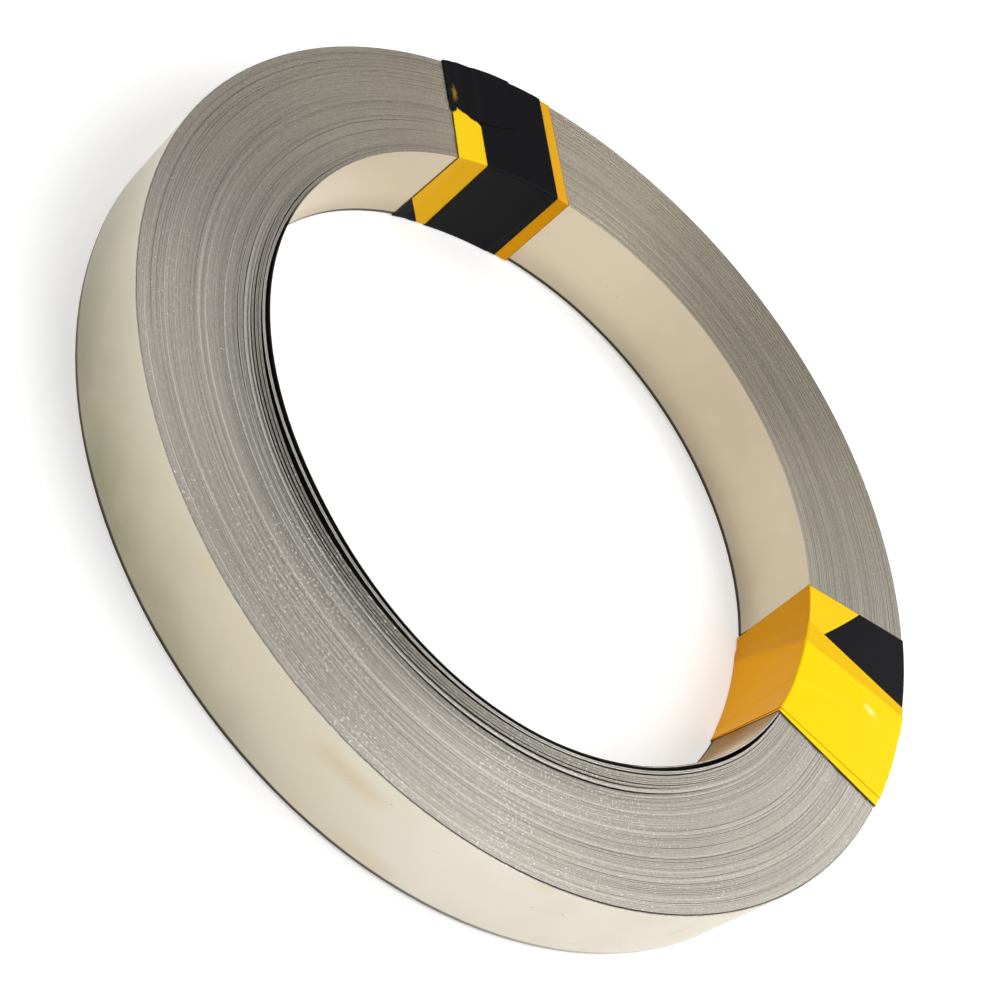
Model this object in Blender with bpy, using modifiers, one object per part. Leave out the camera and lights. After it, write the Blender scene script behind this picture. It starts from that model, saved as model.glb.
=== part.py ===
"""A coil of nickel strip, wound into a flat ring and held by two bands of hazard tape.

Metres, +Z up. The coil lies on its side with its axis on +Z. The origin is under the
middle of the coil, on the plane that its tape bands rest on.
"""

import math

import bmesh
import bpy
from mathutils import Matrix

# The strip and the coil that it is wound into
STRIP_WIDTH = 0.025
STRIP_THICKNESS = 0.0003
BORE_RADIUS = 0.078
WINDING_DEPTH = 0.0325
TURNING_STEPS = 72

# The innermost turns stand loose, with gaps between them that show on both ends
LOOSE_TURNS = 4
LOOSE_GAP = 0.0007
LOOSE_GAP_DEPTH = 0.004

# The packed turns show as groups, with a fine groove between each group and the next
PACKED_GROUPS = 6
GROOVE_WIDTH = 0.0004
GROOVE_DEPTH = 0.0007
EDGE_WANDER = 0.00025

# The hazard tape
TAPE_WIDTH = 0.0315
TAPE_THICKNESS = 0.0002
TAPE_CLEARANCE = 0.0003
TAPE_CORNER_STEPS = 3

# Each wrap of a band, innermost first: how far its middle line lies to the side of the
# band's own radius, its skew on the coil's ends and its lean down the coil's walls
BLACK_BAND_DIRECTION = math.radians(150)
BLACK_BAND_WRAPS = (
    {"shift": -0.00175, "skew": 0.0, "lean": 0.0},
    {"shift": 0.00175, "skew": 0.0, "lean": 0.0},
)
YELLOW_BAND_DIRECTION = math.radians(30)
YELLOW_BAND_WRAPS = (
    {"shift": 0.0100, "skew": math.radians(14), "lean": math.radians(7)},
    {"shift": -0.0094, "skew": math.radians(-7), "lean": math.radians(-12)},
    {"shift": -0.0071, "skew": math.radians(-4), "lean": math.radians(-10)},
)

# How far a slab that cuts a wrap to its width reaches past the coil
SLAB_MARGIN = 0.010

MERGE_DISTANCE = 0.00001
SMOOTH_ANGLE = math.radians(30)
GOLDEN_FRACTION = (math.sqrt(5) - 1) / 2

OUTER_RADIUS = BORE_RADIUS + WINDING_DEPTH
MOST_WRAPS = max(len(BLACK_BAND_WRAPS), len(YELLOW_BAND_WRAPS))
BAND_DEPTH = TAPE_CLEARANCE + MOST_WRAPS * TAPE_THICKNESS
COIL_MIDDLE_HEIGHT = BAND_DEPTH + STRIP_WIDTH / 2
MIDDLE_RADIUS = (OUTER_RADIUS + BORE_RADIUS) / 2
LOOSE_ZONE = LOOSE_TURNS * (STRIP_THICKNESS + LOOSE_GAP)


def clear_scene():
    """Remove every object of the file that the script runs in."""
    for thing in list(bpy.data.objects):
        bpy.data.objects.remove(thing, do_unlink=True)


def new_collection(name):
    """A collection in the scene, under the given name."""
    collection = bpy.data.collections.new(name)
    bpy.context.scene.collection.children.link(collection)
    return collection


def make_material(name, colour, roughness, metallic):
    """A Principled material with one colour."""
    material = bpy.data.materials.new(name)
    material.use_nodes = True
    shader = material.node_tree.nodes["Principled BSDF"]
    shader.inputs["Base Color"].default_value = (*colour, 1.0)
    shader.inputs["Roughness"].default_value = roughness
    shader.inputs["Metallic"].default_value = metallic
    return material


def wander(index):
    """How far a group's edges stand below the strip's full width, different for each group."""
    return EDGE_WANDER * ((index * GOLDEN_FRACTION) % 1.0)


def end_profile():
    """Radius and depth below the end face, from the outer edge to the bore.

    The packed turns come first, as groups with V grooves between them, then the loose
    turns, each with a square gap on its outer side.
    """
    packed_inner_radius = BORE_RADIUS + LOOSE_ZONE
    group_width = (OUTER_RADIUS - packed_inner_radius) / PACKED_GROUPS
    points = [(OUTER_RADIUS, wander(0))]
    for group in range(1, PACKED_GROUPS):
        sway = (wander(group) / EDGE_WANDER - 0.5) * group_width / 2
        middle = OUTER_RADIUS - group * group_width + sway
        points.append((middle + GROOVE_WIDTH / 2, wander(group - 1)))
        points.append((middle, GROOVE_DEPTH))
        points.append((middle - GROOVE_WIDTH / 2, wander(group)))
    height = wander(PACKED_GROUPS - 1)
    for turn in range(LOOSE_TURNS):
        gap_outer = packed_inner_radius - turn * (STRIP_THICKNESS + LOOSE_GAP)
        gap_inner = gap_outer - LOOSE_GAP
        points.append((gap_outer, height))
        points.append((gap_outer, LOOSE_GAP_DEPTH))
        points.append((gap_inner, LOOSE_GAP_DEPTH))
        height = wander(PACKED_GROUPS + turn)
        points.append((gap_inner, height))
    points.append((BORE_RADIUS, height))
    return points


def coil_section():
    """The coil's closed section: down its outer side, inwards, up the bore and outwards."""
    end = end_profile()
    half = STRIP_WIDTH / 2
    lower_end = [(radius, depth - half) for radius, depth in end]
    upper_end = [(radius, half - depth) for radius, depth in reversed(end)]
    return lower_end + upper_end


def wrapped_section(distance):
    """The coil's plain section grown by a distance, with an arc round each corner."""
    half = STRIP_WIDTH / 2
    corners = (
        (OUTER_RADIUS, half, math.radians(90)),
        (OUTER_RADIUS, -half, math.radians(0)),
        (BORE_RADIUS, -half, math.radians(-90)),
        (BORE_RADIUS, half, math.radians(-180)),
    )
    points = []
    for radius, height, first_angle in corners:
        for step in range(TAPE_CORNER_STEPS + 1):
            angle = first_angle - math.radians(90) * step / TAPE_CORNER_STEPS
            points.append((radius + distance * math.cos(angle), height + distance * math.sin(angle)))
    return points


def turned_ring(name, section, collection):
    """A closed section at +X, turned about Z with a Screw modifier."""
    mesh = bpy.data.meshes.new(name)
    outline = bmesh.new()
    corners = [outline.verts.new((radius, 0.0, height)) for radius, height in section]
    for index, corner in enumerate(corners):
        outline.edges.new((corner, corners[(index + 1) % len(corners)]))
    outline.to_mesh(mesh)
    outline.free()
    ring = bpy.data.objects.new(name, mesh)
    ring.location.z = COIL_MIDDLE_HEIGHT
    collection.objects.link(ring)
    screw = ring.modifiers.new("turn", "SCREW")
    screw.axis = "Z"
    screw.angle = math.tau
    screw.steps = TURNING_STEPS
    screw.render_steps = TURNING_STEPS
    screw.use_merge_vertices = True
    screw.merge_threshold = MERGE_DISTANCE
    screw.use_normal_calculate = False
    return ring


def wrap_slab(name, direction, wrap, collection):
    """The slab that one wrap of tape fills, as wide as the tape.

    Its middle plane crosses the band's radius at the coil's middle radius on the upper
    end, turned by the wrap's skew about Z and leaned about the slab's own length.
    """
    length = OUTER_RADIUS - BORE_RADIUS + 2 * (BAND_DEPTH + SLAB_MARGIN)
    height = STRIP_WIDTH + 2 * (BAND_DEPTH + SLAB_MARGIN)
    mesh = bpy.data.meshes.new(name)
    block = bmesh.new()
    bmesh.ops.create_cube(block, size=1.0, matrix=Matrix.Diagonal((length, TAPE_WIDTH, height, 1.0)))
    block.to_mesh(mesh)
    block.free()
    slab = bpy.data.objects.new(name, mesh)
    upper_end = Matrix.Translation((0, 0, COIL_MIDDLE_HEIGHT + STRIP_WIDTH / 2))
    place = Matrix.Translation((MIDDLE_RADIUS, wrap["shift"], 0))
    skew = Matrix.Rotation(wrap["skew"], 4, "Z")
    lean = Matrix.Rotation(-wrap["lean"], 4, "X")
    down = Matrix.Translation((0, 0, -STRIP_WIDTH / 2))
    slab.matrix_world = Matrix.Rotation(direction, 4, "Z") @ upper_end @ place @ skew @ lean @ down
    collection.objects.link(slab)
    return slab


def add_boolean(target, operation, other):
    """An exact Boolean modifier on the target."""
    boolean = target.modifiers.new(operation.lower(), "BOOLEAN")
    boolean.operation = operation
    boolean.solver = "EXACT"
    boolean.object = other


def mark_as_cutter(thing):
    """Show a cutter as wires only."""
    thing.hide_render = True
    thing.display_type = "WIRE"


def make_coil(parts):
    """The strip, wound tight from its loose inner turns to its outer one."""
    coil = turned_ring("nickel_strip_coil", coil_section(), parts)
    coil.data.materials.append(make_material("nickel", (0.42, 0.40, 0.35), 0.35, 1.0))
    return coil


def make_band(name, direction, wraps, material, parts, cutters):
    """A band of tape round the coil's section, each wrap one tape thicker than the last."""
    inside = turned_ring(name + "_inside", wrapped_section(TAPE_CLEARANCE), cutters)
    mark_as_cutter(inside)
    band = None
    for index, wrap in enumerate(wraps):
        distance = TAPE_CLEARANCE + (index + 1) * TAPE_THICKNESS
        slab = wrap_slab(f"{name}_slab_{index}", direction, wrap, cutters)
        mark_as_cutter(slab)
        first = band is None
        home = parts if first else cutters
        layer_name = name if first else f"{name}_wrap_{index}"
        layer = turned_ring(layer_name, wrapped_section(distance), home)
        add_boolean(layer, "INTERSECT", slab)
        if first:
            band = layer
        else:
            mark_as_cutter(layer)
            add_boolean(band, "UNION", layer)
    add_boolean(band, "DIFFERENCE", inside)
    band.data.materials.append(material)
    return band


def apply_and_smooth(thing):
    """Turn the modifiers into a mesh, smooth on its round faces and sharp at its edges."""
    evaluated = thing.evaluated_get(bpy.context.evaluated_depsgraph_get())
    mesh = bpy.data.meshes.new_from_object(evaluated)
    thing.modifiers.clear()
    thing.data = mesh
    mesh.shade_smooth()
    mesh.set_sharp_from_angle(angle=SMOOTH_ANGLE)


def build():
    """Make the coil and its two bands."""
    clear_scene()
    parts = new_collection("nickel_strip")
    cutters = new_collection("cutters")
    black = make_material("tape_black", (0.015, 0.015, 0.018), 0.3, 0.0)
    yellow = make_material("tape_yellow", (0.98, 0.72, 0.02), 0.3, 0.0)
    coil = make_coil(parts)
    black_band = make_band(
        "tape_band_black", BLACK_BAND_DIRECTION, BLACK_BAND_WRAPS, black, parts, cutters
    )
    yellow_band = make_band(
        "tape_band_yellow", YELLOW_BAND_DIRECTION, YELLOW_BAND_WRAPS, yellow, parts, cutters
    )
    bpy.context.view_layer.update()
    for thing in (coil, black_band, yellow_band):
        apply_and_smooth(thing)


build()
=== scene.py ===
# %% [markdown]
# # A coil of nickel strip with hazard tape
#
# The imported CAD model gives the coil's size and place. This lesson dresses it: one long
# ribbon wound into a ring, and layers of yellow and black tape folded round its section.

import math

import bpy
import numpy as np
from mathutils import Matrix, Vector


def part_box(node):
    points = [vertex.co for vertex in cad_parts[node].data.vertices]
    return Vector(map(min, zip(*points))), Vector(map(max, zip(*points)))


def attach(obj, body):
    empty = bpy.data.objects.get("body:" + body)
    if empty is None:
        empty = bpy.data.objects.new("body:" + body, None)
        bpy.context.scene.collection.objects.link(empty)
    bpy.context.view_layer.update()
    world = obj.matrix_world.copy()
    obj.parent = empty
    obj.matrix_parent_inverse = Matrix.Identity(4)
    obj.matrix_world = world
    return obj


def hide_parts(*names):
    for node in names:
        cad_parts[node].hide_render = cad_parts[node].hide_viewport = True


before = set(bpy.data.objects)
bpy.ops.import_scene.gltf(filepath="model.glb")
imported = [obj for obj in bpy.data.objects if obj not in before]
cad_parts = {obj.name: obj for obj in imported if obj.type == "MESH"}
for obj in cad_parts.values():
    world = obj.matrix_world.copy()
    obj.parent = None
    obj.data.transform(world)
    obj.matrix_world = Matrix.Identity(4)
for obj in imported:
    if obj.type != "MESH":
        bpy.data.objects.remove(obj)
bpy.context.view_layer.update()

MM = 0.001
CM = 0.01
FULL_TURN = 2 * math.pi

coil_low, coil_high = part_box("nickel_strip_coil")
COIL_BOTTOM = coil_low[2]
COIL_TOP = coil_high[2]
OUTER_RADIUS = (coil_high[0] - coil_low[0]) / 2
BORE_RADIUS = 78 * MM
STRIP_WIDTH = COIL_TOP - COIL_BOTTOM
print("coil radius", OUTER_RADIUS, "strip width", STRIP_WIDTH)

# %% [markdown]
# ## Camera
#
# The camera is placed by its bearing, its rise and its reach from the point it aims at, on
# the coil's upper side. A photograph of a flat ring is often turned in its frame, so a roll
# about the line of sight follows.

# %% Camera
CAMERA_BEARING = math.radians(-80.06)
CAMERA_RISE = math.radians(38.96)
CAMERA_REACH = 0.4294
CAMERA_ROLL = math.radians(52.91)
CAMERA_AIM = Vector((0.0050, -0.0303, COIL_TOP))
FOCAL_PIXELS = 1998.8
PHOTO_PIXELS = 990
SENSOR_WIDTH = 36.0


def add_camera():
    """Place the camera on a sphere round its aim and turn it about its own line of sight."""
    away = Vector(
        (
            math.cos(CAMERA_RISE) * math.cos(CAMERA_BEARING),
            math.cos(CAMERA_RISE) * math.sin(CAMERA_BEARING),
            math.sin(CAMERA_RISE),
        )
    )
    level_right = Vector((0, 0, 1)).cross(away).normalized()
    level_up = away.cross(level_right)
    level = Matrix((level_right, level_up, away)).transposed().to_4x4()
    data = bpy.data.cameras.new("camera")
    data.sensor_width = SENSOR_WIDTH
    data.lens = FOCAL_PIXELS / PHOTO_PIXELS * SENSOR_WIDTH
    data.clip_start = 0.01
    camera = bpy.data.objects.new("camera", data)
    place = Matrix.Translation(CAMERA_AIM + CAMERA_REACH * away)
    camera.matrix_world = place @ level @ Matrix.Rotation(CAMERA_ROLL, 4, "Z")
    bpy.context.scene.collection.objects.link(camera)
    bpy.context.scene.camera = camera


add_camera()

# %% [markdown]
# ## From a grid of points to a mesh
#
# Every new piece is a surface on a grid of two parameters. The grid's rows and columns may
# close on themselves, as they do round a tube. Its faces come from whole arrays of indices.


# %% Grid mesh helper
def grid_faces(rows, columns, close_rows=False, close_columns=False):
    """Quads that join each grid point to the next in its row and its column."""
    row = np.arange(rows if close_rows else rows - 1)
    column = np.arange(columns if close_columns else columns - 1)
    row, column = np.meshgrid(row, column, indexing="ij")
    next_row = (row + 1) % rows
    next_column = (column + 1) % columns
    corners = (
        row * columns + column,
        next_row * columns + column,
        next_row * columns + next_column,
        row * columns + next_column,
    )
    return np.stack(corners, axis=-1).reshape(-1, 4)


def mesh_piece(name, points, faces):
    """An object at the origin whose mesh holds the given points and faces."""
    mesh = bpy.data.meshes.new(name)
    mesh.from_pydata(np.reshape(points, (-1, 3)), [], np.asarray(faces).tolist())
    piece = bpy.data.objects.new(name, mesh)
    bpy.context.scene.collection.objects.link(piece)
    return piece


def add_point_uv(mesh, name, per_point, seam=None):
    """Give each face corner the pair of numbers of the point that it stands on.

    On a map that closes on itself after the length seam, a face that crosses the seam has
    its low corners lifted by that length, so that no face holds the whole map squeezed up.
    """
    corner_points = np.empty(len(mesh.loops), dtype=np.int32)
    mesh.loops.foreach_get("vertex_index", corner_points)
    uv = np.asarray(per_point, dtype=np.float32)[corner_points]
    if seam is not None:
        along = uv.reshape(-1, 4, 2)[:, :, 0]
        along += seam * (along < along.max(axis=1, keepdims=True) - seam / 2)
    layer = mesh.uv_layers.new(name=name)
    layer.data.foreach_set("uv", uv.ravel())


def add_point_value(mesh, name, per_point):
    """Store one number for each point, for a material to read."""
    attribute = mesh.attributes.new(name, "FLOAT", "POINT")
    attribute.data.foreach_set("value", np.asarray(per_point, dtype=np.float32).ravel())


def smooth_noise(seed, where, count):
    """A seeded random line through count values, read at places from 0 to 1, with eased joins."""
    values = np.random.default_rng(seed).uniform(-1, 1, count + 1)
    place = np.clip(where, 0, 1) * (count - 1)
    index = np.floor(place).astype(int)
    ease = place - index
    ease = ease * ease * (3 - 2 * ease)
    return values[index] * (1 - ease) + values[index + 1] * ease


# %% [markdown]
# ## How round the coil is
#
# A coil that is held in only two places isn't quite round, and tight tape flattens it. Its outer side and its bore each
# get a short table of radii at chosen bearings. Read between the entries and smoothed, a
# table becomes one radius for any bearing, which the ribbon and the tape share.

# %% Radii round the coil
TURNS = 93
STEPS_PER_TURN = 144
STRIP_THICKNESS = 0.30 * MM
bearing_grid = np.arange(STEPS_PER_TURN) * 360.0 / STEPS_PER_TURN


def round_table(bearings, values, window=9):
    """A closed table read at every grid bearing, then averaged over a sliding window."""
    line = np.interp(bearing_grid, bearings, values, period=360)
    weights = np.hanning(window + 2)[1:-1]
    shifts = np.arange(window) - window // 2
    return sum(w * np.roll(line, s) for w, s in zip(weights, shifts)) / weights.sum()


OUTER_BEARINGS = (
    -170, -150, -120, -95, -60, -45, -30, -15, 0, 30, 55, 75, 100, 125, 144, 154, 163, 170,
)
OUTER_CHANGE = (
    -0.6, -0.15, -0.15, 0.0, 0.65, 0.7, 0.5, 0.35, 0.2, 0.1, 0.4, 0.6, 0.2, -0.4, -0.35, -0.95,
    -0.6, -0.7,
)
BORE_BEARINGS = (
    -165, -150, -135, -120, -105, -95, -80, -60, -45, -30, -15, 0, 12, 30, 50, 75, 105, 130, 150, 168, 180,
)
BORE_CHANGE = (
    2.0, 1.9, 1.3, 0.5, -0.35, -0.8, -0.4, 0.45, 0.65, 0.35, -0.05, 0.25, 0.3, 0.2, 0.4, 0.2, 0.3, 0.1,
    0.5, 1.5, 2.0,
)
LEAN_BEARINGS = (-155, -140, -110, -70, -45, -15, 8)
LEAN = (0.0, 0.4, 0.5, 0.65, 0.75, 0.5, 0.0)
outer_line = OUTER_RADIUS + round_table(OUTER_BEARINGS, OUTER_CHANGE, 5) * MM
bore_line = BORE_RADIUS + round_table(BORE_BEARINGS, BORE_CHANGE, 5) * MM
lean_line = round_table(LEAN_BEARINGS, LEAN) * MM


def radius_at(line, bearing):
    """One of the two radius lines, read at any bearing in degrees."""
    return np.interp(bearing, bearing_grid, line, period=360)


print("outer", outer_line.min(), outer_line.max(), "bore", bore_line.min(), bore_line.max())

# %% [markdown]
# ## The ribbon
#
# The real coil is one strip, a third of a millimetre thick, wound a hundred times. It could
# be a turned ring with a bump map, but the gaps between its inner turns open and close along
# the way, and they are deep enough to be black. So the strip is made as it is: one thin
# section carried along a spiral. The tape presses the turns together, and between the two
# bands they spring apart, most of all on the inside.

# %% How far apart the turns stand
BLACK_BAND_BEARING = 150.0
YELLOW_BAND_BEARING = 30.0
START_BEARING = YELLOW_BAND_BEARING + 14
CLIMB = 0.07
END_BEARING = BLACK_BAND_BEARING

# Gaps outside some turns, in millimetres, at these bearings: the loose inner ones, and one
# inside the last turn
GAP_BEARINGS = (-165, -150, -135, -120, -105, -95, -80, -60, -45, -30, -15, 0, 12, 25, 140)
LOOSE_GAPS = {
    0: (0.05, 0.20, 0.85, 1.10, 1.00, 1.00, 0.70, 0.55, 0.45, 0.50, 1.00, 0.95, 0.30, 0, 0),
    2: (0.15, 0.30, 0.12, 0.55, 1.30, 1.60, 1.20, 0.60, 0.30, 0.45, 0.30, 0.20, 0.10, 0, 0),
    4: (0.00, 0.05, 0.12, 0.20, 0.32, 0.30, 0.15, 0.05, 0.05, 0.05, 0.10, 0.10, 0.05, 0, 0),
    6: (0.00, 0.05, 0.25, 0.25, 0.35, 0.35, 0.20, 0.05, 0.05, 0.05, 0.05, 0.05, 0.00, 0, 0),
    8: (0.00, 0.05, 0.10, 0.30, 0.33, 0.30, 0.20, 0.15, 0.20, 0.25, 0.10, 0.05, 0.00, 0, 0),
    10: (0.00, 0.00, 0.05, 0.10, 0.15, 0.15, 0.20, 0.50, 0.50, 0.30, 0.00, 0.00, 0.00, 0, 0),
    13: (0.00, 0.05, 0.20, 0.15, 0.10, 0.15, 0.15, 0.60, 0.55, 0.40, 0.10, 0.00, 0.00, 0, 0),
    17: (0.00, 0.10, 0.10, 0.30, 0.10, 0.10, 0.10, 0.05, 0.02, 0.02, 0.05, 0.05, 0.00, 0, 0),
    TURNS - 2: (0.00, 0.05, 0.10, 0.12, 0.12, 0.12, 0.15, 0.28, 0.34, 0.30, 0.20, 0.12, 0.05, 0, 0),
}
WIDEST_SHARED_GAP = 0.09 * MM
rng = np.random.default_rng(7)


def spring(bearing, middle, reach):
    """A bump over bearings in degrees: one at its middle, eased to nothing at its reach."""
    turned = (bearing - middle + 180.0) % 360.0 - 180.0
    inside = np.clip(np.abs(turned) / reach, 0, 1)
    return (1 - inside**2) ** 2


def gap_table():
    """Gap outside each turn at each bearing, in metres.

    What the listed gaps leave of the room is shared among all turns. Near the bands the
    shares are even. Between them each share follows a high power of a random number, so
    most gaps are hair lines and a few are wide, and each opens and closes along the way.
    What a gap would have past the widest allowed goes to all of them in even shares.
    """
    gaps = np.zeros((TURNS, STEPS_PER_TURN))
    for turn, widths in LOOSE_GAPS.items():
        gaps[turn] = round_table(GAP_BEARINGS, widths, 5) * MM
    room = outer_line - bore_line - TURNS * STRIP_THICKNESS - gaps.sum(axis=0)
    loose = 0.9 * spring(bearing_grid, -75.0, 135.0)
    luck = rng.uniform(size=(TURNS, 1)) ** 4 * 30
    middle = rng.uniform(-150, 10, (TURNS, 1))
    opened = 0.3 + np.repeat(rng.uniform(size=(TURNS, STEPS_PER_TURN // 3)), 3, axis=1)
    luck = luck * (opened + np.roll(opened, 1, axis=1) + np.roll(opened, 2, axis=1))
    share = (1 - loose) + loose * luck * spring(bearing_grid, middle, 110.0)
    share[list(LOOSE_GAPS) + [TURNS - 1]] = 0.0
    wanted = np.maximum(room, 0) * share / share.sum(axis=0)
    shared = np.minimum(wanted, WIDEST_SHARED_GAP)
    packed = TURNS - len(LOOSE_GAPS) - 1
    return gaps + shared + (wanted - shared).sum(axis=0) * (share > 0) / packed


gaps = gap_table()
passes = np.vstack([np.zeros(STEPS_PER_TURN), np.cumsum(gaps + STRIP_THICKNESS, axis=0)])
turn_radius = outer_line + STRIP_THICKNESS / 2 - (passes[-1] - passes)
print("inner radius from", turn_radius[0].min(), "to", turn_radius[0].max())

# %% Wind the ribbon
EDGE_CROWN = 0.04 * MM
CROWN_SIDE = -0.4
END_INSET = 0.01 * MM


def wind():
    """Middle line of the strip: bearing, radius and how far it stands below its full height.

    Each pass keeps its own radius line, and climbs to the next one in the last part of the
    turn, which lies under the yellow band. The last pass stops under the black band.
    """
    total = TURNS * 360.0 + (END_BEARING - START_BEARING) % 360.0
    count = int(total / 360.0 * STEPS_PER_TURN) + 1
    travelled = np.linspace(0, total, count)
    bearing = START_BEARING + travelled
    turn = (travelled / 360.0).astype(int)
    part = travelled / 360.0 - turn
    after = np.minimum(turn + 1, TURNS)
    column = bearing / 360.0 * STEPS_PER_TURN
    low = np.floor(column).astype(int) % STEPS_PER_TURN
    high = (low + 1) % STEPS_PER_TURN
    blend = column - np.floor(column)

    def radius_of(pass_number):
        return turn_radius[pass_number, low] * (1 - blend) + turn_radius[pass_number, high] * blend

    climb = np.clip((part - 1 + CLIMB) / CLIMB, 0, 1)
    climb = climb * climb * (3 - 2 * climb)
    radius = radius_of(turn) * (1 - climb) + radius_of(after) * climb
    progress = travelled / total
    drop = 0.07 * (1 + smooth_noise(11, progress, 14)) + 0.04 * (1 + smooth_noise(12, progress, 260))
    drop = drop * np.clip((1 - progress) * TURNS, 0, 1)
    return np.radians(bearing), radius, drop * MM, progress


angle, radius, drop, progress = wind()
print("strip points", len(angle))


def ribbon():
    """The strip's section carried along the spiral.

    The section has six points: two walls, and an edge above and below whose crest stands
    nearer the bore, because a slitting knife rolls one side of the edge over. The outer
    turns lean: they stand further in at their foot.
    """
    half = STRIP_THICKNESS / 2
    across = np.array([1, 1, CROWN_SIDE, -1, -1, CROWN_SIDE]) * half
    height = np.array([0, 1, 1, 1, 0, 0])
    crown = np.array([0, 0, EDGE_CROWN, 0, 0, -EDGE_CROWN])
    low = COIL_BOTTOM + END_INSET + EDGE_CROWN
    high = COIL_TOP - END_INSET - EDGE_CROWN
    lean = radius_at(lean_line, np.degrees(angle)) * progress
    reach = radius[:, None] + across - lean[:, None] * (1 - height)
    level = low + (high - low) * height - drop[:, None] * height
    level = level + crown + 0.5 * drop[:, None] * (1 - height)
    points = np.stack(
        [reach * np.cos(angle)[:, None], reach * np.sin(angle)[:, None], level], axis=-1
    )
    faces = grid_faces(len(angle), len(across), close_columns=True)
    last = (len(angle) - 1) * len(across)
    first_cap = [[0, 1, 2, 5], [2, 3, 4, 5]]
    last_cap = [[last + i for i in reversed(cap)] for cap in first_cap]
    return points, np.vstack([faces, first_cap, last_cap])


points, faces = ribbon()
winding = mesh_piece("nickel_strip_winding", points, faces)
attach(winding, "root")
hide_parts("nickel_strip_coil")
print("triangles", 2 * len(faces))

# %% Numbers for the strip's material
steps = np.hypot(np.diff(radius * np.cos(angle)), np.diff(radius * np.sin(angle)))
run = np.concatenate([[0], np.cumsum(steps)])
section_walk = np.array([0, 1, 1.005, 1.01, 2.01, 2.015]) * STRIP_WIDTH
strip_uv = np.stack(np.broadcast_arrays(run[:, None], section_walk[None, :]), axis=-1)
add_point_uv(winding.data, "strip", strip_uv.reshape(-1, 2))

# How bright the edge is, turn by turn. On the first turn the edge is painted black, as
# shade, where it stands free.
BRIGHT_TURNS = (1, 2, 12, 13, 27, 41)
tone = 0.5 + 0.5 * smooth_noise(21, progress, 500)
turn_number = ((angle - angle[0]) / FULL_TURN).astype(int)
tone = np.where(np.isin(turn_number, BRIGHT_TURNS), 0.95, tone)
first_turn = angle < angle[0] + FULL_TURN
first_turn_shade = first_turn * np.clip(3 * spring(np.degrees(angle), -88.0, 85.0), 0, 1)
add_point_value(winding.data, "tone", np.repeat(tone * (1 - first_turn_shade) - first_turn_shade, 6))

# Which walls face open air: the first turn's inner one and the last turn's outer one. The
# others, between turns, are painted dark as shade.
last_turn = angle > angle[-1] - FULL_TURN
open_wall = np.zeros((len(angle), 6))
open_wall[:, :3] = last_turn[:, None]
open_wall[:, 3:] = first_turn[:, None]
add_point_value(winding.data, "open_wall", open_wall)
winding.data.shade_smooth()
winding.data.set_sharp_from_angle(angle=math.radians(40))

# %% [markdown]
# ## The hazard tape
#
# Two bands of plastic tape hold the coil. Each is several wraps, and no wrap lies exactly on
# the last, so yellow and black edges peep out. One flat sheet with a picture of this would
# look dead at its edges. So each wrap is its own thin closed shell: the coil's section is
# traced as a path with rounded corners, and the tape is that path spread sideways. A wrap
# stands higher where another lies under it, which leaves soft ridges in the film.

# %% The path round the coil's section
TAPE_THICKNESS = 0.17 * MM
TAPE_CLEARANCE = 0.04 * MM
TAPE_LAYER = 0.19 * MM
MOST_LAYERS = 3
CORNER_STEPS = 8
WALL_HEIGHT = COIL_TOP - COIL_BOTTOM
WALL_DEPTH = OUTER_RADIUS - BORE_RADIUS
PATH_LENGTH = 2 * (WALL_DEPTH + WALL_HEIGHT)

# Under the coil the film hangs a little slack, so that it lies on the floor
FLOOR_SLACK = COIL_BOTTOM - TAPE_CLEARANCE - (MOST_LAYERS - 1) * TAPE_LAYER - TAPE_THICKNESS


def section_path(end_steps, wall_steps):
    """Where each path point stands on the coil's section, and which way is outwards there.

    The path starts at the bore's top corner, crosses the top, goes down the outer side, back
    under the coil and up the bore. share runs 0 to 1 from bore to outer side, height runs 0
    to 1 from bottom to top, and turn is the direction outwards: 90 degrees is up. Each comes
    as a column.
    """
    share, height, turn, walk = [], [], [], []
    corners = ((0, 1, 180), (1, 1, 90), (1, 0, 0), (0, 0, -90))
    start = 0.0
    for index, (corner_share, corner_height, corner_turn) in enumerate(corners):
        next_share, next_height, _ = corners[(index + 1) % 4]
        steps, length = ((end_steps, WALL_DEPTH), (wall_steps, WALL_HEIGHT))[index % 2]
        place = np.concatenate([np.zeros(CORNER_STEPS), np.linspace(0, 1, steps + 1)[:-1]])
        bend = np.concatenate([np.arange(CORNER_STEPS) / CORNER_STEPS, np.ones(steps)])
        share.append(corner_share + (next_share - corner_share) * place)
        height.append(corner_height + (next_height - corner_height) * place)
        turn.append(np.radians(corner_turn - 90 * bend))
        walk.append(start + length * place)
        start += length
    return tuple(np.concatenate(part)[:, None] for part in (share, height, turn, walk))


tape_path = section_path(48, 36)
print("tape path points", len(tape_path[0]), "length", PATH_LENGTH)

# %% [markdown]
# ## Where each wrap lies
#
# A wrap's middle line crosses the band's own radius at a skew, and leans on the walls of the
# coil. These sizes describe it: its shift to the side at the coil's middle radius, its skew
# and its lean in degrees, and its width. The tail is a torn end of tape that hangs over the
# coil's outer corner.

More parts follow.
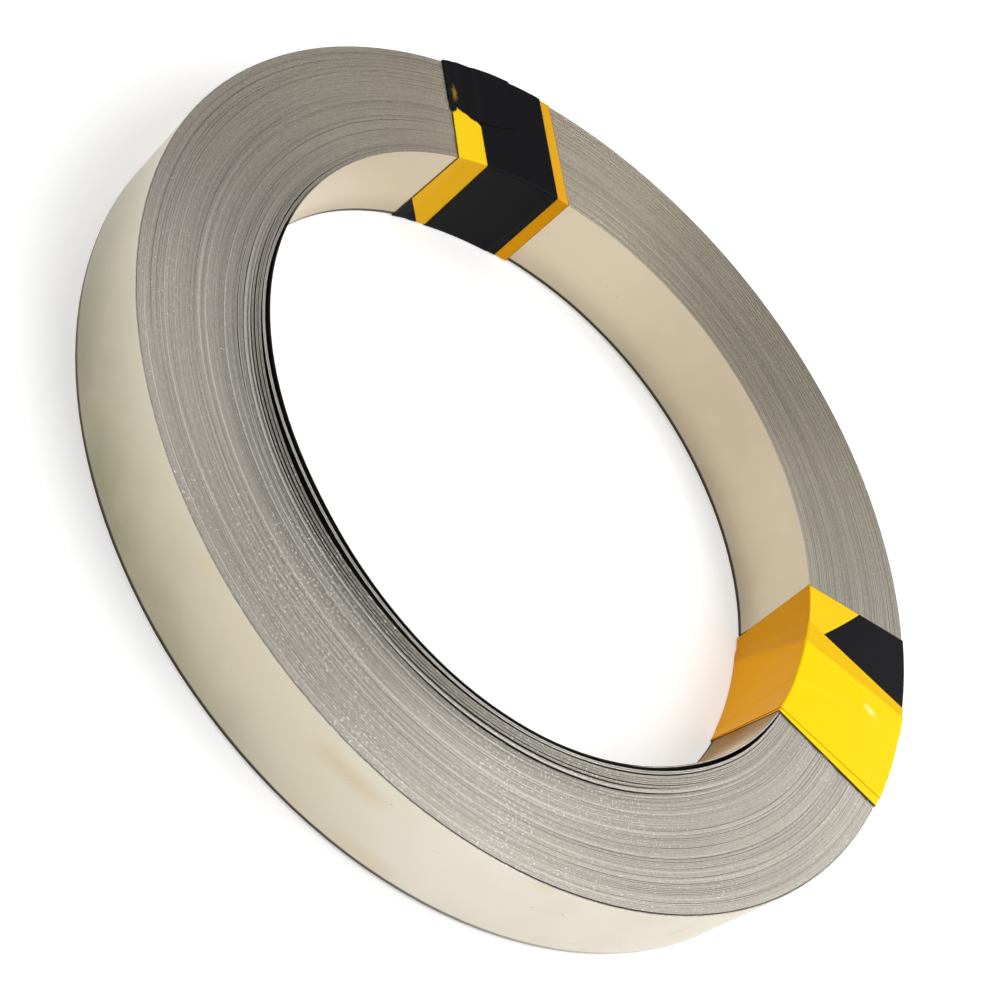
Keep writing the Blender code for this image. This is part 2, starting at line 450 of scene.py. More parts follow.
# %% The wraps
ACROSS_STEPS = 52
MIDDLE_RADIUS = (OUTER_RADIUS + BORE_RADIUS) / 2
YELLOW_WRAPS = (
    {"name": "tape_yellow_first", "shift": 10.0, "skew": 14.0, "lean": 7.0, "width": 31.5},
    {"name": "tape_yellow_second", "shift": -9.4, "skew": -7.0, "lean": -12.0, "width": 31.5},
    {"name": "tape_yellow_top", "shift": -7.1, "skew": -3.8, "lean": -10.0, "width": 31.6},
)
BLACK_WRAPS = (
    {"name": "tape_black_first", "shift": -1.8, "skew": 0.0, "lean": 0.0, "width": 31.5},
    {"name": "tape_black_second", "shift": 1.7, "skew": -2.0, "lean": -3.0, "width": 30.6},
    {"name": "tape_black_top", "shift": -2.8, "skew": -0.6, "lean": 0.0, "width": 22.5},
)
BLACK_TAIL = {"name": "tape_black_tail", "shift": 7.0, "skew": 0.0, "lean": 0.0, "width": 21.1}
EDGE_EASE = 0.8 * MM

# The last turn adds its thickness to the coil, from its climb to its end
climb_start = START_BEARING - 360 * CLIMB
extra_turn = round_table((climb_start, START_BEARING, END_BEARING, END_BEARING + 2.5), (0, 1, 1, 0), 3)
skin_line = outer_line + STRIP_THICKNESS * extra_turn


def middle_line(wrap, reach, depth):
    """How far to the side a wrap's middle line lies, at a reach out and a depth down."""
    skew = math.tan(math.radians(wrap["skew"])) * (reach - MIDDLE_RADIUS)
    lean = math.tan(math.radians(wrap["lean"])) * depth
    return wrap["shift"] * MM + skew - lean


def wrap_surface(wrap, path, below, band_bearing, lift):
    """A wrap's outer and inner skin in the band's own frame: reach, side and height.

    The side is the middle line plus the place across the tape. The reach follows from the
    coil's radius there, by Pythagoras. The tape stands clear of the coil by one layer for
    each wrap below it, eased at that wrap's edges, and by its own lift.
    """
    share, height, turn, walk = path
    across = np.linspace(-0.5, 0.5, ACROSS_STEPS + 1)[None, :] * wrap["width"] * MM
    depth = (1 - height) * WALL_HEIGHT
    reach = BORE_RADIUS + share * WALL_DEPTH
    for _ in range(3):
        side = middle_line(wrap, reach, depth) + across
        bearing = band_bearing + np.degrees(np.arctan2(side, reach))
        radius = radius_at(bore_line, bearing) * (1 - share) + radius_at(skin_line, bearing) * share
        reach = np.sqrt(radius**2 - side**2)
    distance = TAPE_CLEARANCE + lift(side, share, height)
    for other in below:
        inset = 0.5 * other["width"] * MM - np.abs(side - middle_line(other, reach, depth))
        distance = distance + TAPE_LAYER * np.clip(0.5 + inset / (2 * EDGE_EASE), 0, 1)
    skins = []
    for clear in (distance + TAPE_THICKNESS, distance):
        stretched = radius + clear * np.cos(turn)
        level = COIL_BOTTOM + height * WALL_HEIGHT + clear * np.sin(turn)
        level = level + FLOOR_SLACK * np.minimum(np.sin(turn), 0)
        skin = np.broadcast_arrays(np.sqrt(stretched**2 - side**2), side, level)
        skins.append(np.stack(skin, axis=-1))
    return skins, np.stack(np.broadcast_arrays(walk, across), axis=-1)


def closed_shell(outer, inner, whole_round):
    """Points and faces of a tape: its two skins, its two edges and, if it has them, its ends."""
    rows, columns = outer.shape[:2]
    points = np.concatenate([outer, inner[:, ::-1]], axis=1)
    faces = grid_faces(rows, 2 * columns, close_rows=whole_round, close_columns=True)
    if whole_round:
        return points, faces
    place = np.arange(columns - 1)
    first_end = np.stack([place, place + 1, 2 * columns - 2 - place, 2 * columns - 1 - place], axis=-1)
    last_end = first_end[:, ::-1] + (rows - 1) * 2 * columns
    return points, np.vstack([faces, first_end, last_end])


def to_world(points, band_bearing):
    """From the band's own frame to the coil's: a turn about the coil's axis."""
    c, s = math.cos(math.radians(band_bearing)), math.sin(math.radians(band_bearing))
    x, y, z = np.moveaxis(points, -1, 0)
    return np.stack([c * x - s * y, s * x + c * y, z], axis=-1)


def lie_flat(side, share, height):
    """No lift."""
    return np.zeros_like(side)


def make_wrap(wrap, below, band_bearing, node, lift=lie_flat, path=tape_path, whole_round=True):
    """One wrap of tape as a piece that stands for the band's solid. Its map is in centimetres."""
    (outer, inner), uv = wrap_surface(wrap, path, below, band_bearing, lift)
    points, faces = closed_shell(outer, inner, whole_round)
    piece = mesh_piece(wrap["name"], to_world(points, band_bearing), faces)
    both_skins = np.concatenate([uv, uv[:, ::-1]], axis=1).reshape(-1, 2)
    seam = PATH_LENGTH / CM if whole_round else None
    add_point_uv(piece.data, "tape", both_skins / CM, seam)
    piece.data.shade_smooth()
    piece.data.set_sharp_from_angle(angle=math.radians(50))
    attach(piece, "root")
    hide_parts(node)
    print(wrap["name"], "triangles", 2 * len(faces))
    return piece


# %% Wrap the yellow band
FOLD_HEIGHT = 0.20 * MM
FOLD_WIDTH = 1.0 * MM
BLISTER_HEIGHT = 0.50 * MM


def fold_side(share, height):
    """Where the fold runs: nearly straight across the top, and slanting down both walls."""
    return (2.9 + 1.5 * share + (1 - height) * (7.4 - 3.0 * share)) * MM


def yellow_top_lift(side, share, height):
    """A low fold along the wrap, and a long blister beside it near the coil's outer corner."""
    fold = np.exp(-(((side - fold_side(share, height)) / FOLD_WIDTH) ** 2))
    fold = FOLD_HEIGHT * fold * np.clip(3 * height, 0, 1)
    reach = BORE_RADIUS + share * WALL_DEPTH
    forward, sideways = reach - 98.0 * MM, side + 0.7 * MM
    along = 0.93 * forward - 0.37 * sideways
    beside = 0.37 * forward + 0.93 * sideways
    blister = np.exp(-((along / (3.2 * MM)) ** 2) - (beside / (1.0 * MM)) ** 2)
    return fold + BLISTER_HEIGHT * blister * (height == 1)


yellow_pieces = [
    make_wrap(
        wrap,
        YELLOW_WRAPS[:index],
        YELLOW_BAND_BEARING,
        "tape_band_yellow",
        yellow_top_lift if wrap is YELLOW_WRAPS[-1] else lie_flat,
    )
    for index, wrap in enumerate(YELLOW_WRAPS)
]

# %% Wrap the black band
black_pieces = [
    make_wrap(wrap, BLACK_WRAPS[:index], BLACK_BAND_BEARING, "tape_band_black")
    for index, wrap in enumerate(BLACK_WRAPS)
]

# %% The torn tail
TEAR_SIDES = (-4.0, 2.0, 8.9, 11.3, 12.0, 13.2, 14.6, 15.6, 16.0, 16.8, 17.8)
TEAR_REACHES = (95.0, 92.5, 91.9, 92.2, 92.9, 93.5, 94.3, 95.4, 93.6, 93.2, 93.8)
TAIL_DROP = 15 * MM


def tail_path():
    """The stretch of the section path from the ragged tear, over the corner, down the wall."""
    side = BLACK_TAIL["shift"] + np.linspace(-0.5, 0.5, ACROSS_STEPS + 1) * BLACK_TAIL["width"]
    nicks = 0.25 * np.random.default_rng(5).uniform(-1, 1, ACROSS_STEPS + 1)
    tear = (np.interp(side, TEAR_SIDES, TEAR_REACHES) + nicks) * MM
    first_share = (tear - BORE_RADIUS) / WALL_DEPTH
    share, height, turn, walk = (column[:, 0] for column in tape_path)
    kept = (walk < WALL_DEPTH + TAIL_DROP) & (turn < math.pi / 2 + 0.001)
    share, height, turn, walk = (column[kept][:, None] for column in (share, height, turn, walk))
    torn_share = np.where(height == 1, first_share + (1 - first_share) * share, share)
    torn_walk = np.where(height == 1, torn_share * WALL_DEPTH, walk)
    return torn_share, height, turn, torn_walk


def tail_lift(side, share, height):
    """Loose ripples that grow towards the coil's outer corner and die out at the tear."""
    loose = np.clip((share - 0.5) / 0.4, 0, 1)
    ripple = np.sin(side / (1.9 * MM)) * np.sin(share * 31.0 + height * 9.0)
    return (0.04 + loose * (0.12 + 0.07 * ripple)) * MM


black_tail = make_wrap(
    BLACK_TAIL, BLACK_WRAPS, BLACK_BAND_BEARING, "tape_band_black", tail_lift, tail_path(), False
)

# %% [markdown]
# ## Node helpers
#
# A material here is a small tree of nodes. These helpers keep each one short.


# %% Node helpers
class Nodes:
    """Shorthand for building one material's nodes."""

    def __init__(self, name):
        self.material = bpy.data.materials.new(name)
        self.material.use_nodes = True
        self.tree = self.material.node_tree
        self.shader = self.tree.nodes["Principled BSDF"]
        self.out = self.tree.nodes["Material Output"]

    def add(self, kind, **settings):
        node = self.tree.nodes.new(kind)
        for key, value in settings.items():
            setattr(node, key, value)
        return node

    def put(self, value, socket):
        """A number, a colour or another node's output goes into a socket."""
        if isinstance(value, bpy.types.NodeSocket):
            self.tree.links.new(value, socket)
        else:
            socket.default_value = value

    def math(self, operation, *values):
        node = self.add("ShaderNodeMath", operation=operation)
        for value, socket in zip(values, node.inputs):
            self.put(value, socket)
        return node.outputs[0]

    def remap(self, value, low, high, new_low=0.0, new_high=1.0, smooth=False):
        node = self.add("ShaderNodeMapRange")
        if smooth:
            node.interpolation_type = "SMOOTHSTEP"
        for number, socket in zip((value, low, high, new_low, new_high), node.inputs):
            self.put(number, socket)
        return node.outputs[0]

    def mix(self, share, one, other, blend="MIX"):
        node = self.add("ShaderNodeMix", data_type="RGBA", blend_type=blend)
        self.put(share, node.inputs["Factor"])
        self.put(one, node.inputs["A"])
        self.put(other, node.inputs["B"])
        return node.outputs["Result"]

    def vector(self, x, y, z):
        node = self.add("ShaderNodeCombineXYZ")
        for value, socket in zip((x, y, z), node.inputs):
            self.put(value, socket)
        return node.outputs[0]

    def noise(self, where, scale, detail=2.0, roughness=0.5):
        node = self.add("ShaderNodeTexNoise")
        self.put(where, node.inputs["Vector"])
        self.put(scale, node.inputs["Scale"])
        self.put(detail, node.inputs["Detail"])
        self.put(roughness, node.inputs["Roughness"])
        return node.outputs["Fac"]

    def bump(self, height, strength, distance, after=None):
        node = self.add("ShaderNodeBump")
        self.put(height, node.inputs["Height"])
        self.put(strength, node.inputs["Strength"])
        self.put(distance, node.inputs["Distance"])
        if after is not None:
            self.put(after, node.inputs["Normal"])
        return node.outputs[0]


# %% [markdown]
# ## Nickel
#
# The strip's broad faces are rolled: warm, bright and soft, with faint smudges. Its edges
# were slit: greyer, with fine lines along the strip, bright burrs with painted glints and
# dark nicks. One mesh carries both finishes, told apart by which way a face looks. The
# edge's tone follows each turn through a number stored along the strip, so a darker turn
# stays darker all the way round. Both finishes also carry painted light and shade, set by
# bearing, radius and height.


# %% Nickel materials
def strip_place(nodes):
    """Object coordinates as bearing round the coil, radius and height."""
    where = nodes.add("ShaderNodeTexCoord").outputs["Object"]
    split = nodes.add("ShaderNodeSeparateXYZ")
    nodes.put(where, split.inputs[0])
    x, y, z = split.outputs
    bearing = nodes.math("ARCTAN2", y, x)
    square = nodes.math("ADD", nodes.math("MULTIPLY", x, x), nodes.math("MULTIPLY", y, y))
    return where, bearing, nodes.math("SQRT", square), z


def streaks(nodes, bearing, reach, per_radian, per_metre, layer, detail=2.0):
    """Noise drawn out along the strip: so many cells a radian round, so many a metre across."""
    place = nodes.vector(
        nodes.math("MULTIPLY", bearing, per_radian), nodes.math("MULTIPLY", reach, per_metre), layer
    )
    return nodes.noise(place, 1.0, detail)


def near_bearing(nodes, bearing, middle, reach):
    """One at a bearing in degrees, eased to nothing at its reach, all the way round the coil."""
    turned = nodes.math("COSINE", nodes.math("SUBTRACT", bearing, math.radians(middle)))
    return nodes.remap(turned, math.cos(math.radians(reach)), 1.0, smooth=True)


# Soft patches on the outer wall, a brown smudge high up and a faint darkening near the
# foot: bearing in degrees, height and tint
WALL_PATCHES = (
    (-67.0, COIL_BOTTOM + 19 * MM, (0.88, 0.80, 0.66, 1)),
    (-59.0, COIL_BOTTOM + 3 * MM, (0.94, 0.89, 0.80, 1)),
)
PATCH_REACH = 6.0
PATCH_HEIGHT = 4 * MM


def wall_patch(nodes, bearing, height, cloud, middle, level):
    """A soft patch round a bearing and a height, broken up by a cloudy noise."""
    up = nodes.math("ABSOLUTE", nodes.math("SUBTRACT", height, level))
    tall = nodes.remap(up, PATCH_HEIGHT, 0.0, smooth=True)
    patch = nodes.math("MULTIPLY", near_bearing(nodes, bearing, middle, PATCH_REACH), tall)
    return nodes.math("MULTIPLY", patch, nodes.remap(cloud, 0.3, 0.6, 0.3, 1.0))


def nickel_face():
    """The rolled faces: warm bright metal, smudged, near-black along parts of the lower edge.

    The bore's wall is painted darker and warmer, as shade and warm reflected light, with more
    painted shade round the back and near its foot, and the tape's yellow painted beside the
    band as its reflection and shade. The outer wall is painted lighter at one side, as a
    reflection, and darker towards its foot in one stretch, as shade. Walls that lie between
    turns are painted dark, as shade.
    """
    nodes = Nodes("nickel_rolled_face")
    where, bearing, reach, height = strip_place(nodes)
    cloud = nodes.noise(where, 26.0, 4.0, 0.6)
    smudge = nodes.noise(where, 60.0, 2.0)
    speck = nodes.noise(where, 900.0, 1.0)
    rolled = nodes.noise(
        nodes.vector(nodes.math("MULTIPLY", bearing, 6.0), 0.0, nodes.math("MULTIPLY", height, 900.0)), 1.0, 3.0
    )
    in_bore = nodes.math("LESS_THAN", reach, MIDDLE_RADIUS)
    # Painted reflection: the outer wall is lighter round one bearing.
    painted_light_stretch = near_bearing(nodes, bearing, -28.0, 65.0)
    metal = nodes.mix(painted_light_stretch, (0.655, 0.605, 0.485, 1), (0.72, 0.68, 0.59, 1))
    # Painted shade: the outer wall is darker towards its foot in one stretch.
    foot = nodes.remap(height, COIL_TOP, COIL_BOTTOM + 4 * MM, 0.3, 1.0)
    painted_shade_stretch = nodes.math("MULTIPLY", near_bearing(nodes, bearing, -112.0, 60.0), foot)
    metal = nodes.mix(painted_shade_stretch, metal, (0.57, 0.575, 0.485, 1), "MULTIPLY")
    for middle, level, colour in WALL_PATCHES:
        wall_tint = wall_patch(nodes, bearing, height, cloud, middle, level)
        metal = nodes.mix(wall_tint, metal, colour, "MULTIPLY")
    # Painted shade and warm reflected light: the bore's wall is darker and warmer, and darker still round the back.
    metal = nodes.mix(in_bore, metal, (0.64, 0.55, 0.41, 1))
    shaded = nodes.math("MULTIPLY", near_bearing(nodes, bearing, 75.0, 50.0), in_bore)
    metal = nodes.mix(shaded, metal, (0.80, 0.78, 0.74, 1), "MULTIPLY")
    # Painted reflection and shade of the yellow tape on the bore's wall beside the band; it is rougher there too.
    painted_tape_reflection = nodes.math("MULTIPLY", near_bearing(nodes, bearing, 14.0, 12.0), in_bore)
    metal = nodes.mix(painted_tape_reflection, metal, (0.50, 0.27, 0.02, 1), "MULTIPLY")
    # Painted shade: the bore's wall is darker near its foot.
    low = nodes.remap(height, COIL_BOTTOM + 10 * MM, COIL_BOTTOM, 0.0, 0.45, smooth=True)
    metal = nodes.mix(nodes.math("MULTIPLY", low, in_bore), metal, (0.30, 0.25, 0.18, 1))
    metal = nodes.mix(nodes.remap(cloud, 0.4, 0.7, 0.0, 0.5), metal, (0.66, 0.58, 0.44, 1))
    metal = nodes.mix(nodes.remap(smudge, 0.66, 0.76, 0.0, 0.45), metal, (0.60, 0.50, 0.34, 1))
    metal = nodes.mix(nodes.remap(speck, 0.79, 0.83), metal, (0.32, 0.28, 0.22, 1))
    # A near-black line along the foot of the walls, in the bore and on the front stretch.
    foot_line_edge = nodes.math("ADD", height, nodes.math("MULTIPLY", cloud, 0.4 * MM))
    dark_foot_line = nodes.remap(foot_line_edge, COIL_BOTTOM + 1.35 * MM, COIL_BOTTOM + 1.0 * MM, 0.0, 0.95)
    dark_foot_stretch = nodes.math("MAXIMUM", in_bore, near_bearing(nodes, bearing, -90.0, 85.0))
    metal = nodes.mix(nodes.math("MULTIPLY", dark_foot_line, dark_foot_stretch), metal, (0.03, 0.028, 0.02, 1))
    # Painted shade: walls between turns are dark, and those that face open air keep the metal.
    open_wall = nodes.add("ShaderNodeAttribute", attribute_name="open_wall").outputs["Fac"]
    metal = nodes.mix(open_wall, (0.25, 0.23, 0.20, 1), metal)
    nodes.put(metal, nodes.shader.inputs["Base Color"])
    nodes.put(1.0, nodes.shader.inputs["Metallic"])
    rough = nodes.remap(cloud, 0.3, 0.7, 0.32, 0.42)
    rough = nodes.math("ADD", rough, nodes.math("MULTIPLY", painted_tape_reflection, 0.30))
    nodes.put(rough, nodes.shader.inputs["Roughness"])
    nodes.put(nodes.bump(rolled, 0.06, 0.00005), nodes.shader.inputs["Normal"])
    return nodes.material


# Painted shade on stretches of the coil's end: bearing in degrees, reach in degrees and tint
PAINTED_EDGE_SHADE = (
    (-120.0, 42.0, (0.85, 0.865, 0.885, 1)),
    (98.0, 28.0, (0.86, 0.86, 0.86, 1)),
    (-150.0, 22.0, (0.92, 0.92, 0.92, 1)),
    (4.0, 16.0, (0.91, 0.91, 0.91, 1)),
)


def nickel_edge():
    """The slit edges: grey, lined along the strip, with bright burrs painted as glints and dark nicks, and painted
    shade and highlights in stretches.
    """
    nodes = Nodes("nickel_slit_edge")
    where, bearing, reach, height = strip_place(nodes)
    tone = nodes.add("ShaderNodeAttribute", attribute_name="tone").outputs["Fac"]
    lines = streaks(nodes, bearing, reach, 3.0, 3400.0, 0.0)
    grain = streaks(nodes, bearing, reach, 70.0, 6000.0, 3.0)
    # Bright specks on the burrs, painted as glints, with more of them in the front stretch.
    burr_glints = streaks(nodes, bearing, reach, 150.0, 2000.0, 9.0)
    nick = streaks(nodes, bearing, reach, 22.0, 3000.0, 15.0)
    cluster = nodes.remap(nodes.noise(where, 38.0, 2.0), 0.45, 0.62, 0.0, 0.05)
    glint_stretch = nodes.math("MULTIPLY", near_bearing(nodes, bearing, -62.0, 60.0), 0.08)
    burr_glints = nodes.math("ADD", nodes.math("ADD", burr_glints, cluster), glint_stretch)
    mottle = nodes.noise(where, 1500.0, 2.0)
    metal = nodes.mix(nodes.remap(lines, 0.3, 0.7), (0.62, 0.57, 0.50, 1), (0.78, 0.725, 0.645, 1))
    metal = nodes.mix(nodes.remap(tone, 0.0, 0.4, 0.55, 0.0), metal, (0.40, 0.38, 0.335, 1))
    metal = nodes.mix(nodes.remap(mottle, 0.35, 0.65, 0.0, 0.45), metal, (0.80, 0.78, 0.74, 1), "MULTIPLY")
    # Painted shade: the inner turns are darker on the front stretch.
    inner = nodes.math(
        "MULTIPLY", near_bearing(nodes, bearing, -85.0, 62.0), nodes.remap(reach, 93 * MM, 86 * MM)
    )
    metal = nodes.mix(inner, metal, (0.62, 0.63, 0.64, 1), "MULTIPLY")
    warm = near_bearing(nodes, bearing, 125.0, 95.0)
    metal = nodes.mix(warm, metal, (1.0, 0.965, 0.87, 1), "MULTIPLY")
    for middle, half_width, colour in PAINTED_EDGE_SHADE:
        metal = nodes.mix(near_bearing(nodes, bearing, middle, half_width), metal, colour, "MULTIPLY")
    # Painted highlight: the bright turns shine brighter on the front stretch.
    shining = nodes.math("MULTIPLY", near_bearing(nodes, bearing, -70.0, 100.0), 0.7)
    shining = nodes.math("MULTIPLY", nodes.remap(tone, 0.8, 0.95), shining)
    metal = nodes.mix(shining, metal, (0.92, 0.89, 0.82, 1))
    metal = nodes.mix(nodes.remap(grain, 0.55, 0.75, 0.0, 0.5), metal, (0.90, 0.87, 0.81, 1))
    metal = nodes.mix(nodes.remap(grain, 0.45, 0.25, 0.0, 0.5), metal, (0.36, 0.34, 0.30, 1))
    metal = nodes.mix(nodes.remap(nick, 0.75, 0.80), metal, (0.14, 0.13, 0.12, 1))
    # Painted glints on the burrs.
    metal = nodes.mix(nodes.remap(burr_glints, 0.71, 0.75), metal, (1.0, 1.0, 0.97, 1))
    # Painted shade: the first turn's edge is black where it stands free.
    metal = nodes.mix(nodes.remap(tone, -0.2, -0.7), metal, (0.02, 0.02, 0.02, 1))
    nodes.put(metal, nodes.shader.inputs["Base Color"])
    nodes.put(1.0, nodes.shader.inputs["Metallic"])
    nodes.put(nodes.remap(lines, 0.3, 0.7, 0.52, 0.40), nodes.shader.inputs["Roughness"])
    nodes.put(0.4, nodes.shader.inputs["Anisotropic"])
    nodes.put(0.25, nodes.shader.inputs["Anisotropic Rotation"])
    tangent = nodes.add("ShaderNodeTangent", direction_type="UV_MAP", uv_map="strip")
    nodes.put(tangent.outputs[0], nodes.shader.inputs["Tangent"])
    nodes.put(nodes.bump(grain, 0.30, 0.00004), nodes.shader.inputs["Normal"])
    return nodes.material


def dress_winding():
    """Give the ribbon its two finishes: edges look up or down, faces look sideways."""
    mesh = winding.data
    mesh.materials.append(nickel_face())
    mesh.materials.append(nickel_edge())
    normals = np.empty(len(mesh.polygons) * 3, dtype=np.float32)
    mesh.polygons.foreach_get("normal", normals)
    upright = np.abs(normals.reshape(-1, 3)[:, 2]) > 0.5
    mesh.polygons.foreach_set("material_index", upright.astype(np.int32))


dress_winding()

# %% [markdown]
# ## Tape film
#
# The film is plastic, printed with slanted black and yellow bars. The bars are worked out
# from the tape's own map: how far along the tape, plus a share of how far across, is a
# slanted place, and what lies between a start and an end there is yellow. Each wrap has its
# own start, as each was cut from another place on the roll. In the bore the yellow turns to
# a darker, warmer copy, painted as shade and warm reflected light. On the top wrap, beyond a
# fold, it is deeper: partly black print showing through and partly the fold's slope painted
# as shade. A small glint is painted on a blister, and dust sticks to the glue at the cut
# edges.

# %% Tape materials
YELLOW_INK = (0.95, 0.69, 0.003, 1)
GOLDEN_INK = (0.93, 0.61, 0.012, 1)
DEEP_YELLOW_INK = (0.87, 0.53, 0.006, 1)
# Copies of the yellows for the bore, darker and warmer: painted shade and warm reflected light
BORE_SHADE_YELLOW_INK = (0.90, 0.39, 0.002, 1)
BORE_SHADE_DEEP_YELLOW_INK = (0.73, 0.315, 0.004, 1)
BORE_SHADE_GOLDEN_INK = (0.99, 0.54, 0.012, 1)
ORANGE_INK = (0.76, 0.38, 0.018, 1)
PAINTED_GLINT = (1.0, 0.93, 0.28, 1)
BLACK_INK = (0.010, 0.010, 0.012, 1)
GLUE_DUST = (0.10, 0.055, 0.015, 1)
INK_EASE = 0.02
TAPE_TURN = PATH_LENGTH / CM
BORE_FROM = (2 * WALL_DEPTH + WALL_HEIGHT) / CM


def off_patch(nodes, along, across, middle, squeeze):
    """How far a place on the film is from a patch's middle, with the way along it squeezed."""
    off_along = nodes.math("MULTIPLY", nodes.math("SUBTRACT", along, middle[0]), squeeze)
    off_across = nodes.math("SUBTRACT", across, middle[1])
    squares = nodes.math("MULTIPLY", off_along, off_along)
    squares = nodes.math("ADD", squares, nodes.math("MULTIPLY", off_across, off_across))
    return nodes.math("SQRT", squares)


def tape_film(
    wrap,
    bar_start,
    bar_length,
    slant=-1.0,
    inks=(YELLOW_INK, BORE_SHADE_YELLOW_INK),
    dust=0.85,
    gloss=0.06,
    fold=None,
    worn=None,
    glint_place=None,
):
    """Film whose yellow bar starts at bar_start and is bar_length long, in centimetres.

    inks are the yellow on the coil's outside and its darker, warmer copy in the bore, painted
    as shade and warm reflected light, and dust is how much sticks to the cut edges. fold is
    where the film's deeper part begins across the tape, partly painted shade: its place at the
    bore's top corner, and how far it moves for each centimetre away from there. worn is the
    place, along and across, of a patch whose black ink has flaked, and glint_place is that of
    a small painted glint on a blister.
    """
    nodes = Nodes(wrap["name"] + "_film")
    split = nodes.add("ShaderNodeSeparateXYZ")
    nodes.put(nodes.add("ShaderNodeUVMap", uv_map="tape").outputs[0], split.inputs[0])
    along, across = split.outputs[0], split.outputs[1]
    where = nodes.add("ShaderNodeTexCoord").outputs["Object"]
    cloud = nodes.noise(where, 90.0, 3.0)
    slanted = nodes.math("ADD", along, nodes.math("MULTIPLY", across, slant))
    place = nodes.math("FLOORED_MODULO", nodes.math("SUBTRACT", slanted, bar_start), TAPE_TURN)
    begun = nodes.remap(place, 0.0, INK_EASE)
    left = nodes.remap(place, bar_length, bar_length + INK_EASE, 1.0, 0.0)
    height = nodes.add("ShaderNodeSeparateXYZ")
    nodes.put(where, height.inputs[0])
    bent = nodes.remap(height.outputs[2], COIL_TOP + 0.35 * MM, COIL_TOP + 0.15 * MM)
    bent = nodes.math("MULTIPLY", bent, nodes.math("LESS_THAN", along, 0.01))
    in_bore = nodes.math("MAXIMUM", nodes.remap(along, BORE_FROM - 0.1, BORE_FROM), bent)
    top_ink, bore_shade_ink = inks
    if fold is not None:
        # Deeper yellow beyond the fold: partly black print showing through the film, partly painted shade of the fold's
        # slope.
        from_corner = nodes.math("MINIMUM", along, nodes.math("SUBTRACT", TAPE_TURN, along))
        fold_line = nodes.math("ADD", nodes.math("MULTIPLY", from_corner, fold[1]), fold[0])
        deep = nodes.remap(nodes.math("SUBTRACT", across, fold_line), -0.09, 0.10, smooth=True)
        top_ink = nodes.mix(deep, top_ink, DEEP_YELLOW_INK)
        bore_shade_ink = nodes.mix(deep, bore_shade_ink, BORE_SHADE_DEEP_YELLOW_INK)
    # Painted shade: in the bore the yellow turns to its darker, warmer copy.
    ink = nodes.mix(in_bore, top_ink, bore_shade_ink)
    ink = nodes.mix(nodes.remap(cloud, 0.45, 0.75, 0.0, 0.10), ink, (0.80, 0.50, 0.01, 1))
    ink = nodes.mix(nodes.math("MULTIPLY", begun, left), BLACK_INK, ink)
    if worn is not None:
        ragged = nodes.math("MULTIPLY", nodes.noise(where, 900.0, 3.0), 0.16)
        off = nodes.math("ADD", off_patch(nodes, along, across, worn, 0.3), ragged)
        ink = nodes.mix(nodes.remap(off, 0.10, 0.18, 0.85, 0.0), ink, (0.33, 0.20, 0.01, 1))
    if glint_place is not None:
        # Painted glint: a pale spot on the blister's crest.
        stretched = nodes.remap(off_patch(nodes, along, across, glint_place, 0.5), 0.14, 0.03, 0.0, 0.8, True)
        ink = nodes.mix(stretched, ink, PAINTED_GLINT)
    half = wrap["width"] * MM / CM / 2
    dusty = nodes.remap(nodes.math("ABSOLUTE", across), half - 0.022, half - 0.004, 0.0, dust)
    nodes.put(nodes.mix(dusty, ink, GLUE_DUST), nodes.shader.inputs["Base Color"])
    nodes.put(nodes.remap(cloud, 0.3, 0.7, 0.34, 0.46), nodes.shader.inputs["Roughness"])
    nodes.put(gloss, nodes.shader.inputs["Specular IOR Level"])
    ripple = nodes.bump(nodes.noise(where, 220.0, 2.0), 0.10, 0.0003)
    nodes.put(nodes.bump(nodes.noise(where, 900.0, 2.0), 0.10, 0.00003, ripple), nodes.shader.inputs["Normal"])
    return nodes.material


golden = (GOLDEN_INK, BORE_SHADE_GOLDEN_INK)
orange = (ORANGE_INK, BORE_SHADE_YELLOW_INK)
first_yellow = (GOLDEN_INK, BORE_SHADE_DEEP_YELLOW_INK)
films = (
    (yellow_pieces[0], tape_film(YELLOW_WRAPS[0], 7.35, 4.4, -0.92, inks=first_yellow)),
    (yellow_pieces[1], tape_film(YELLOW_WRAPS[1], 10.0, 7.0)),
    (
        yellow_pieces[2],
        tape_film(YELLOW_WRAPS[2], 7.4, 9.0, dust=0.15, fold=(0.89, 0.12), glint_place=(2.22, 0.57)),
    ),
    (black_pieces[0], tape_film(BLACK_WRAPS[0], 10.0, 7.0, inks=orange, gloss=0.05)),
    (black_pieces[1], tape_film(BLACK_WRAPS[1], 8.2, 3.9, inks=golden, gloss=0.05)),
    (black_pieces[2], tape_film(BLACK_WRAPS[2], 4.5, 3.3, dust=0.0, gloss=0.05)),
    (black_tail, tape_film(BLACK_TAIL, 5.48, 3.3, dust=0.0, gloss=0.05, worn=(2.16, 0.86))),
)
for piece, film in films:
    piece.data.materials.append(film)

# %% [markdown]
# ## Floor and light
#
# The floor is pale and plain. Its colour as the camera sees it is lifted to white by the
# Light Path node, and metal sees the same white, but no more light reaches the coil for it.


# %% Floor, world and lamps
def background_ray(nodes):
    """One for the rays that see the white background: from the camera, metal or glass."""
    path = nodes.add("ShaderNodeLightPath")
    seen = nodes.math("MAXIMUM", path.outputs["Is Camera Ray"], path.outputs["Is Glossy Ray"])
    return nodes.math("MAXIMUM", seen, path.outputs["Is Transmission Ray"])


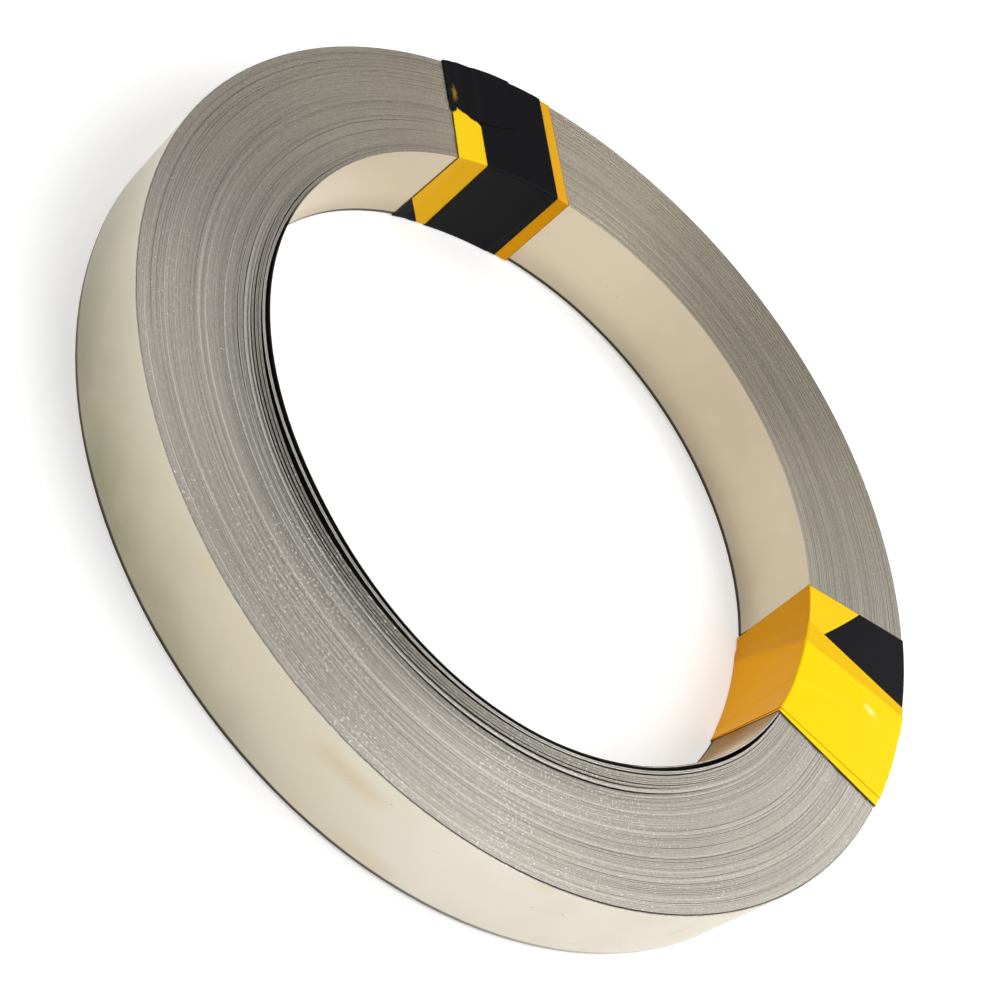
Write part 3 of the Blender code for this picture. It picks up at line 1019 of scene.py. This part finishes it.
def add_floor():
    """A wide pale plane under the coil, lifted the more the further it is from the lamps' middle."""
    half = 6.0
    floor = mesh_piece(
        "floor", [(-half, -half, 0), (half, -half, 0), (half, half, 0), (-half, half, 0)], [[0, 1, 2, 3]]
    )
    nodes = Nodes("pale_floor")
    seen = background_ray(nodes)
    nodes.put((0.72, 0.72, 0.72, 1), nodes.shader.inputs["Base Color"])
    nodes.put(0.9, nodes.shader.inputs["Roughness"])
    nodes.put(0.0, nodes.shader.inputs["Specular IOR Level"])
    nodes.put((1, 1, 1, 1), nodes.shader.inputs["Emission Color"])
    reach = strip_place(nodes)[2]
    lift = nodes.remap(reach, 0.4, 2.0, FLOOR_LIFT, 1.0, smooth=True)
    nodes.put(nodes.math("MULTIPLY", seen, lift), nodes.shader.inputs["Emission Strength"])
    floor.data.materials.append(nodes.material)


def add_area_light(name, bearing, rise, size, power, colour=(1, 1, 1)):
    """A square soft light at a bearing and a rise, in degrees, that looks at the coil's middle."""
    data = bpy.data.lights.new(name, "AREA")
    data.shape = "SQUARE"
    data.size = size
    data.energy = power
    data.color = colour
    light = bpy.data.objects.new(name, data)
    bearing, rise = math.radians(bearing), math.radians(rise)
    toward = Vector(
        (math.cos(rise) * math.cos(bearing), math.cos(rise) * math.sin(bearing), math.sin(rise))
    )
    light.location = toward * LAMP_REACH
    light.rotation_euler = toward.to_track_quat("Z", "Y").to_euler()
    bpy.context.scene.collection.objects.link(light)


class WorldNodes(Nodes):
    """The same shorthand for the sky's nodes."""

    def __init__(self, world):
        world.use_nodes = True
        self.tree = world.node_tree
        self.shader = self.tree.nodes["Background"]


def add_world():
    """A sky that is white near the horizon and dimmer overhead, and white to the camera."""
    world = bpy.data.worlds.new("sky")
    nodes = WorldNodes(world)
    split = nodes.add("ShaderNodeSeparateXYZ")
    nodes.put(nodes.add("ShaderNodeTexCoord").outputs["Generated"], split.inputs[0])
    dome = nodes.remap(split.outputs[2], 0.25, 0.55, 1.0, DOME_LIGHT, smooth=True)
    seen = nodes.add("ShaderNodeLightPath").outputs["Is Camera Ray"]
    nodes.put(nodes.math("MAXIMUM", dome, seen), nodes.shader.inputs["Strength"])
    bpy.context.scene.world = world


FLOOR_LIFT = 0.45
LAMP_REACH = 1.5
DOME_LIGHT = 0.25
add_floor()
add_world()
add_area_light("right_softbox", 6, 58, 1.2, 20.5)
add_area_light("back_softbox", 66, 25, 0.5, 5.0)
add_area_light("left_softbox", 150, 60, 1.0, 5.6)
add_area_light("low_softbox", -150, 18, 0.5, 9)

# %% Finish
scene = bpy.context.scene
scene.view_settings.view_transform = "Standard"
bpy.context.view_layer.update()
